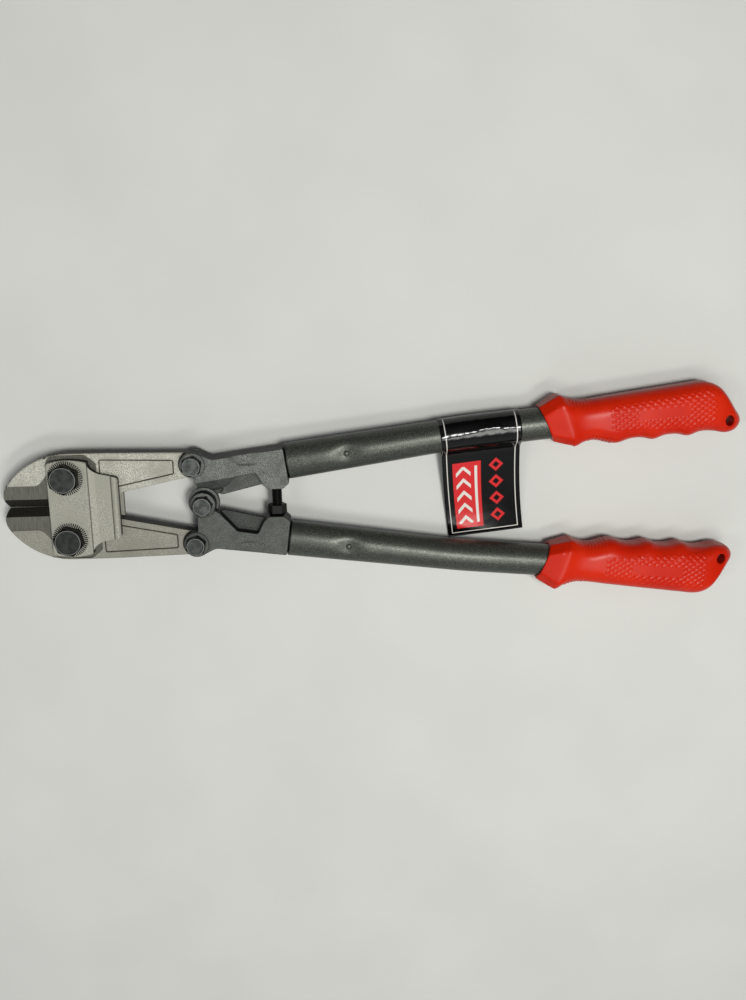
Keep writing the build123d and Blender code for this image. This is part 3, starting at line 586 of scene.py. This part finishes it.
def grip_mesh(node, side):
    """Moulded grip: the CAD shape with knurled faces, a plain band and ribs on its narrow sides."""
    mesh = applied(
        frame["nodes"][node].data.copy(),
        ("WELD", {"merge_threshold": 1e-6}),
        ("REMESH", {"mode": "VOXEL", "voxel_size": 0.64 * MM}),
        ("SMOOTH", {"factor": 0.5, "iterations": 6}),
    )
    spots, normals = vertex_arrays(mesh)
    u, v, h = grip_axes(spots, side)
    reach = np.hypot(v, h)
    bore = tube_diameter / 2
    outer = reach > bore + 0.8

    # Collar: flares from the neck to the slanted ridge
    behind = u + ridge_slant * v - ridge_at
    run, rise = np.abs(v) / reach, np.abs(h) / reach
    ridge_width = np.where(v > 0, ridge_outer, ridge_inner)
    neck_width = np.where(v > 0, neck_outer, neck_inner)
    at_ridge = (ridge_width + ridge_half_depth - collar_chamfer) / (run + rise)
    at_ridge = np.minimum(at_ridge, ridge_width / np.maximum(run, 0.01))
    at_ridge = np.minimum(at_ridge, ridge_half_depth / np.maximum(rise, 0.01))
    neck_power = 3.5
    at_neck = (run / neck_width) ** neck_power + (rise / neck_half_depth) ** neck_power
    at_neck = at_neck ** (-1 / neck_power)
    flare = at_ridge + (at_neck - at_ridge) * ease(behind, 0.0, 8.0)
    fill = np.maximum(flare - reach, 0.0) * (behind > -0.6) * outer
    out = np.stack([v * grip_across[0], v * grip_across[1] * side, h], axis=1)
    out = (fill / reach)[:, None] * out
    collar = outer & (np.abs(behind - 3.0) < 7.0)
    bm = bmesh.new()
    bm.from_mesh(mesh)
    ridge = [vert for vert in bm.verts if collar[vert.index]]
    for vert in ridge:
        vert.co += Vector(out[vert.index]) * MM
    even_out(bm, ridge, 16)
    neck = [vert for vert in bm.verts if outer[vert.index] and 19 < u[vert.index] < 38]
    even_out(bm, neck, 28)

    # Finer faces where the knurling comes
    knurled = (u > knurl_from - 0.5) & (u < knurl_to + 1.0)
    knurled &= (np.abs(normals[:, 2]) > 0.5) & (reach > bore + 0.6)
    edges = [e for e in bm.edges if knurled[e.verts[0].index] and knurled[e.verts[1].index]]
    bmesh.ops.subdivide_edges(bm, edges=edges, cuts=1, use_grid_fill=True)
    bm.to_mesh(mesh)
    bm.free()
    mesh.update()
    spots, normals = vertex_arrays(mesh)
    u, v, h = grip_axes(spots, side)
    upright = np.abs(normals[:, 2])
    sideways = np.abs(normals[:, 0] * grip_across[0] + normals[:, 1] * side * grip_across[1])
    outside = ease(np.hypot(v, h), bore + 0.8, bore + 1.6)

    # Knurling: two families of low raised lines that cross, on both broad faces
    lines = np.zeros(len(u))
    for lean in (1, -1):
        turn = (u + lean * v / tan(knurl_slope)) / knurl_pitch
        apart = np.abs(turn - np.round(turn)) * knurl_pitch * sin(knurl_slope)
        lines = np.maximum(lines, np.exp(-((apart / knurl_line) ** 2)))
    outer_edge = 6.6 + 0.06 * (u - 40)
    inner_edge = -(6.6 + 0.1 * (u - 40))
    zone = ease(u, knurl_from, knurl_from + 1.5)
    zone = zone * (1 - ease(u + 0.022 * v**2, knurl_to - 1.5, knurl_to))
    zone = zone * (1 - ease(v - outer_edge, 0.0, 1.2)) * ease(v - inner_edge, -1.2, 0.0)
    band = ease(u, 54.0, 55.0) * (1 - ease(u, 86.5, 87.5)) * (1 - ease(np.abs(v + 0.4), 3.0, 3.8))
    face = ease(upright, 0.45, 0.8)
    relief = zone * face * ((1 - band) * knurl_rise * lines + band * band_rise)

    # Ribs across the neck's narrow sides
    wave = 0.5 + 0.5 * np.cos(2 * pi * u / rib_pitch)
    outer_ribs = (v > 0) * ease(u, 12.6, 14.0) * (1 - ease(u, 26.5, 28.0))
    inner_ribs = (v < 0) * ease(u, 23.0, 24.5) * (1 - ease(u, 38.0, 39.5))
    ribs = (outer_ribs + inner_ribs) * ease(sideways, 0.55, 0.8)
    relief = relief + ribs * (0.75 * wave - 0.35)
    spots = spots + normals * (relief * outside * MM)[:, None]

    # Hanging hole, back to its full size after the smoothing
    hole = mounts[node.replace("grip", "hanging_hole")]
    centre = np.array(hole["pos_m"][:2])
    reach = np.hypot(*(spots[:, :2] - centre).T)
    widen = np.maximum(hole["dims"]["r_mm"] * MM / reach, 1.0)
    spots[:, :2] = centre + (spots[:, :2] - centre) * widen[:, None]
    mesh.vertices.foreach_set("co", spots.ravel())
    return mesh


def bracket_mesh(node):
    """Cast bracket: the CAD shape with its edges worn round and a shallow trough in its faces."""
    mesh = frame["nodes"][node].data.copy()
    side = 1 if node.startswith("upper") else -1

    # A wedge runs the half lap's slope on to the notch
    bm = bmesh.new()
    bm.from_mesh(mesh)
    rings = []
    for share in (1, 0):
        heights = [bracket_half * side * height * share for _, _, height in lap_corners]
        ring = [(x, y * side, z) for (x, y, _), z in zip(lap_corners, heights)]
        rings.append([bm.verts.new(pivot + Vector(spot) * MM) for spot in ring])
    top, foot = rings
    faces = [bm.faces.new(top), bm.faces.new(foot[::-1])]
    for k in range(3):
        faces.append(bm.faces.new((top[k], foot[k], foot[k - 2], top[k - 2])))
    bmesh.ops.recalc_face_normals(bm, faces=faces)
    bm.to_mesh(mesh)
    bm.free()
    mesh = applied(
        mesh,
        ("WELD", {"merge_threshold": 1e-6}),
        ("REMESH", {"mode": "VOXEL", "voxel_size": 0.42 * MM}),
        ("SMOOTH", {"factor": 0.5, "iterations": 3}),
    )

    # The fork's slot keeps its full width after the smoothing
    spots, _ = vertex_arrays(mesh)
    x, y, z = ((spots - np.array(pivot)) / MM).T
    from_tail = np.hypot(x + tail_pivot_ahead, y - tail_pivot_offset * side)
    slot = (from_tail < fork_reach) & (np.abs(z) > fork_half - 0.6)
    level = np.where(slot, np.maximum(np.abs(z), fork_half), np.abs(z))

    # Shallow trough along the outer edge of each broad face
    spot = np.stack([x, y * side], axis=1) - np.array(trough_corner)
    within = []
    for target, turn in ((trough_end, 1), (trough_left, -1)):
        run = np.array(target) - np.array(trough_corner)
        run = run / np.hypot(*run)
        within.append(turn * (spot[:, 1] * run[0] - spot[:, 0] * run[1]))
    trough = ease(within[0], 0.0, 2.4) * ease(within[1], 0.0, 4.0)
    trough = trough * (1 - ease(x, trough_end[0] - 8.0, trough_end[0] + 4.0))
    level = level - trough_depth * trough * ease(level, bracket_half - 0.9, bracket_half - 0.3)
    spots[:, 2] = pivot.z + np.sign(z) * level * MM
    mesh.vertices.foreach_set("co", spots.ravel())
    return mesh


def tube_place(along):
    """Centre and outward direction of the upper tube's axis, along from its start."""
    if along < tube_straight:
        return np.array(tube_start) + tube_along * along, tube_across
    turned = min((along - tube_straight) / bend_radius, bend_angle)
    angle = tube_angle - turned
    across = np.array([-sin(angle), cos(angle)])
    centre = bend_start + (across - tube_across) * bend_radius
    rest = max(0.0, along - tube_straight - bend_length)
    return centre + grip_along * rest, across


def tube_mesh(side):
    """Tube: oval at the bracket, round behind its taper, pressed in about the rivet."""
    around = 96
    turn = np.linspace(0, 2 * pi, around, endpoint=False)
    whole = tube_straight + bend_length + grip_setback + grip_inside
    fine = np.arange(rivet_along - 20, rivet_along + 20, 0.8)
    start = [0, 0.3, 0.7, 1.2, 2.0, 4.0, 7.0, 10.0, 13.0, 16.0]
    stations = [*start, *fine, *np.linspace(rivet_along + 21, whole, 64)]
    rows = []
    for inset in (0.0, tube_wall):
        for along in stations:
            centre, across = tube_place(along)
            share = min(1.0, along / tube_straight)
            rolled = inset + 0.8 * max(0.0, 1 - along / 1.2) ** 2
            wide = (tube_width + (tube_diameter - tube_width) * share) / 2 - rolled
            deep = (tube_depth + (tube_diameter - tube_depth) * share) / 2 - rolled
            out = wide * np.cos(turn)
            height = deep * np.sin(turn)
            if inset == 0:
                apart = (along - rivet_along) / dent_along
                dent = dent_depth * np.exp(-(apart**2) - (out / dent_across) ** 2)
                pressed = ease(np.abs(np.sin(turn)), 0.2, 0.6)
                height = height - np.sign(np.sin(turn)) * dent * pressed
            xs = centre[0] + across[0] * out
            ys = (centre[1] + across[1] * out) * side
            rows.append(np.stack([xs, ys, height], axis=1))
    points = np.concatenate(rows) * MM + np.array(pivot)
    count = len(stations)
    faces = []
    for layer in (0, 1):
        for row in range(count - 1):
            for k in range(around):
                a = (layer * count + row) * around + k
                b = (layer * count + row) * around + (k + 1) % around
                quad = (a, b, b + around, a + around)
                faces.append(quad if layer == 0 else quad[::-1])
    for row in (0, count - 1):
        for k in range(around):
            a = row * around + k
            b = row * around + (k + 1) % around
            quad = (a, a + count * around, b + count * around, b)
            faces.append(quad if row == 0 else quad[::-1])
    if side > 0:
        faces = [quad[::-1] for quad in faces]
    mesh = bpy.data.meshes.new("tube")
    mesh.from_pydata(points.tolist(), [], faces)
    return mesh


def rivet_mesh(side):
    """Rivet whose low domes sit in the tube's dents."""
    centre, _ = tube_place(rivet_along)
    outline = [(0.0, 8.5), (0.9, 8.4), (1.5, 8.12), (1.9, 7.7)]
    outline += [(2.05, 7.2), (2.05, 6.8), (1.7, 6.6)]
    outline += [(radius, -z) for radius, z in reversed(outline)]
    mesh = bpy.data.meshes.new("rivet")
    bm = bmesh.new()
    line = [bm.verts.new(place(centre[0] + radius, centre[1] * side, z)) for radius, z in outline]
    edges = [bm.edges.new(pair) for pair in zip(line, line[1:])]
    bmesh.ops.spin(
        bm,
        geom=line + edges,
        cent=place(centre[0], centre[1] * side),
        axis=(0, 0, 1),
        angle=2 * pi,
        steps=40,
    )
    bmesh.ops.remove_doubles(bm, verts=bm.verts, dist=1e-6)
    bmesh.ops.recalc_face_normals(bm, faces=bm.faces)
    bm.to_mesh(mesh)
    bm.free()
    return mesh


def label_mesh():
    """Film round the tube whose two plies meet in a drooping flag, as one strip with thickness."""
    half = label_film / 2
    ring = tube_diameter / 2 + 0.1 + half
    lift = radians(40)
    join = (ring * sin(lift) - half) / cos(lift)
    reach_join = ring * cos(lift) + join * sin(lift)
    strip = [(t, half) for t in np.linspace(flag_reach, reach_join + 0.15, 26)]
    tent = np.array([ring * cos(lift) - reach_join, ring * sin(lift) - half])
    strip += [(reach_join + tent[0] * k, half + tent[1] * k) for k in (0.03, 0.5)]
    ply = len(strip)
    ring_turns = np.linspace(lift, 2 * pi - lift, 72)
    strip += [(ring * cos(t), ring * sin(t)) for t in ring_turns]
    strip += [(t, -h) for t, h in reversed(strip[:ply])]
    strip = np.array(strip)
    turns = np.pad(ring_turns, ply)
    held = np.pad(np.sin((ring_turns - lift) / 2 * pi / (pi - lift)), ply)
    lengths = np.concatenate([[0], np.cumsum(np.hypot(*np.diff(strip, axis=0).T))])
    stations = np.linspace(0, label_length, 64)
    points, coordinates = [], []
    for s in stations:
        centre, across = tube_place(tube_straight + s)
        share = s / label_length
        # A crease lifts the film off the tube in a flat, ragged patch that faces up
        off_top = turns - radians(95)
        broad = 15 * np.exp(-(((share - 0.62) / 0.26) ** 2))
        high = radians(6 + broad + 2.5 * sin(1.1 * s) * sin(0.37 * s))
        low = radians(-6 - 5 * share - 2.0 * sin(0.8 * s + 1.0))
        flat = ring * (1 / np.cos(np.clip(off_top, low, high)) - 1)
        past = np.maximum(off_top - high, 0) + np.maximum(low - off_top, 0)
        flat = flat * np.exp(-((past / radians(9)) ** 2))
        wrinkle = 0.05 + flat + 0.02 * np.sin(0.9 * s - 9.0 * turns)
        wrinkle += 0.25 * np.exp(-((s / 2.5) ** 2)) * np.sin(8.0 * turns + 0.5)
        swollen = strip * (1 + held * wrinkle / ring)[:, None]
        for (reach, rise), length in zip(swollen, lengths):
            free = max(0.0, (reach - reach_join) / (flag_reach - reach_join))
            sag = -2.2 * sin(pi * free) * (1 - 0.4 * share) + 1.2 * free**2 * sin(pi * share)
            left_edge = 1.4 * free**2 - 3.3 * free
            right_edge = -3.0 * free * (1 - free) - 0.4 * free
            shift = left_edge * (1 - share) + right_edge * share
            height = rise * cos(flag_droop) - reach * sin(flag_droop) + sag
            inward = reach * cos(flag_droop) + rise * sin(flag_droop)
            spot = centre - across * inward
            spot = spot + np.array([across[1], -across[0]]) * shift
            points.append((spot[0], spot[1], height))
            coordinates.append((share, length / film_scale))
    across_count = len(strip)
    faces = []
    for row in range(len(stations) - 1):
        for k in range(across_count - 1):
            a = row * across_count + k
            faces.append((a, a + across_count, a + across_count + 1, a + 1))
    mesh = bpy.data.meshes.new("label")
    mesh.from_pydata((np.array(points) * MM + np.array(pivot)).tolist(), [], faces)
    layer = mesh.uv_layers.new(name="film")
    for loop in mesh.loops:
        layer.data[loop.index].uv = coordinates[loop.vertex_index]
    return applied(mesh, ("SOLIDIFY", {"thickness": label_sheet * MM, "offset": 0.0}))


def stop_screw_mesh():
    """Stop screw: hexagon head against the lower lobe and a threaded shank into the upper one."""
    mesh = bpy.data.meshes.new("stop_screw")
    bm = bmesh.new()
    foot = -lobe_offset + 0.05
    outer = stop_flats / 2 / cos(pi / 6)
    head = foot + stop_head

    def ring(points, y):
        return [bm.verts.new(place(stop_behind + px, y, pz)) for px, pz in points]

    def hexagon(scale):
        radius = outer * scale
        return [(radius * cos(pi / 3 * k), radius * sin(pi / 3 * k)) for k in range(6)]

    def skin(rings, sides):
        for low, high in zip(rings, rings[1:]):
            for k in range(sides):
                bm.faces.new((low[k], high[k], high[(k + 1) % sides], low[(k + 1) % sides]))
        bm.faces.new(rings[0])
        bm.faces.new(rings[-1][::-1])

    levels = [(0.86, foot), (1.0, foot + 0.9), (1.0, head - 0.3), (0.95, head)]
    skin([ring(hexagon(scale), y) for scale, y in levels], 6)
    around, pitch, depth = 40, 1.25, 0.55
    shank = np.arange(head - 0.2, lobe_offset + 3.0, pitch / 8)
    rows = []
    for y in shank:
        row = []
        for k in range(around):
            share = (y / pitch + k / around) % 1
            radius = stop_diameter / 2 - depth * (1 - 2 * abs(share - 0.5))
            row.append((radius * cos(2 * pi * k / around), radius * sin(2 * pi * k / around)))
        rows.append(ring(row, y))
    skin(rows, around)
    bmesh.ops.recalc_face_normals(bm, faces=bm.faces)
    bm.to_mesh(mesh)
    bm.free()
    return mesh


for side, name in ((1, "upper"), (-1, "lower")):
    add_piece(name + "_moulded_grip", grip_mesh(name + "_grip", side), name + "_grip")
    add_piece(name + "_pressed_tube", tube_mesh(side), name + "_tube")
    add_piece(name + "_domed_rivet", rivet_mesh(side), name + "_tube_rivet")
    softened(name + "_jaw", 0.35)
    add_piece(name + "_cast_bracket", bracket_mesh(name + "_bracket"), name + "_bracket")
    for fastener in ("jaw_bolt", "jaw_nut", "tail_bolt", "tail_nut"):
        softened(f"{name}_{fastener}", 0.25)
for node in ("centre_bolt", "centre_nut"):
    softened(node, 0.25)
for node in ("front_strap", "rear_strap"):
    softened(node, 0.15, chosen=plain)
add_piece("printed_flag_label", label_mesh(), "flag_label")
add_piece("threaded_stop_screw", stop_screw_mesh(), "stop_screw", smooth=False)

# Floor, which leans so that it touches both the bolt ends and the grips
rest_x = joints["link_hinge"]["pos_m"][0]
grip_rest_x, grip_rest_z = 0.19, 0.0058
lean = grip_rest_z / (grip_rest_x - rest_x)
floor_half, floor_gap = 6.0, 0.0002
corners = [
    (x * floor_half, y * floor_half, (x * floor_half - rest_x) * lean - floor_gap)
    for x, y in ((-1, -1), (1, -1), (1, 1), (-1, 1))
]
floor_mesh = bpy.data.meshes.new("floor")
floor_mesh.from_pydata(corners, [], [(0, 1, 2, 3)])
floor = bpy.data.objects.new("floor", floor_mesh)
bpy.context.scene.collection.objects.link(floor)
paper = Graph("paper", 0.85)
fibre = paper.noise(90.0, 3.0)
pale = paper.mix(paper.step(fibre, 0.25, 0.8), srgb(210, 211, 206), srgb(216, 217, 212))
path = paper.add("ShaderNodeLightPath").outputs
seen = paper.math("MAXIMUM", path["Is Camera Ray"], path["Is Glossy Ray"])
seen = paper.math("MAXIMUM", seen, path["Is Transmission Ray"])
paper.set("Base Color", paper.mix(seen, srgb(92, 92, 90), pale))
floor_mesh.materials.append(paper.material)


def area_light(name, spot, target, width, height, power):
    """Rectangular lamp that shines from spot towards target."""
    data = bpy.data.lights.new(name, "AREA")
    data.shape = "RECTANGLE"
    data.size = width
    data.size_y = height
    data.energy = power
    data.color = (1.0, 0.995, 0.97)
    lamp = bpy.data.objects.new(name, data)
    bpy.context.scene.collection.objects.link(lamp)
    aim = Vector(target) - Vector(spot)
    lamp.matrix_world = Matrix.Translation(spot) @ aim.to_track_quat("-Z", "Y").to_matrix().to_4x4()


area_light("overhead", (0.25, 0.1, 1.3), (0.05, 0.0, 0), 0.26, 0.2, 9.8)
area_light("side_bar", (0.25, -0.42, 1.24), (0.05, 0.0, 0), 0.6, 0.16, 3.2)
area_light("left_bar", (-0.75, -0.1, 1.1), (0.0, 0.0, 0), 0.25, 0.5, 2.0)

# Room: pale overhead and towards the lower handle's side, dark elsewhere
world = bpy.data.worlds.new("room")
world.use_nodes = True
bpy.context.scene.world = world
tree = world.node_tree
heading = tree.nodes.new("ShaderNodeTexCoord")
split = tree.nodes.new("ShaderNodeSeparateXYZ")
tree.links.new(heading.outputs["Generated"], split.inputs[0])
glow = tree.nodes.new("ShaderNodeMath")
overhead, lower_side = (2, 0.3, 1.0, 0.04, 0.22), (1, -0.35, -0.9, 0.0, 0.5)
for socket, (axis, *limits) in enumerate((overhead, lower_side)):
    ramp = tree.nodes.new("ShaderNodeMapRange")
    ramp.interpolation_type = "SMOOTHSTEP"
    tree.links.new(split.outputs[axis], ramp.inputs["Value"])
    for name, value in zip(("From Min", "From Max", "To Min", "To Max"), limits):
        ramp.inputs[name].default_value = value
    tree.links.new(ramp.outputs["Result"], glow.inputs[socket])
backdrop = tree.nodes["Background"]
backdrop.inputs["Color"].default_value = (0.95, 0.97, 1.0, 1)
tree.links.new(glow.outputs[0], backdrop.inputs["Strength"])

# Camera, as fitted to the photo
camera_off = (78.75, 141.57, 601.04)
camera_turn = Vector((-0.2336, -0.0435, -0.0236))
camera_data = bpy.data.cameras.new("camera")
camera_data.sensor_width = 36.0
camera_data.lens = 35.95
camera_data.clip_start = 0.01
camera = bpy.data.objects.new("camera", camera_data)
bpy.context.scene.collection.objects.link(camera)
turned = Matrix.Rotation(camera_turn.length, 4, camera_turn.normalized())
camera.matrix_world = Matrix.Translation(place(*camera_off)) @ turned
bpy.context.scene.camera = camera
bpy.context.scene.view_settings.view_transform = "Standard"
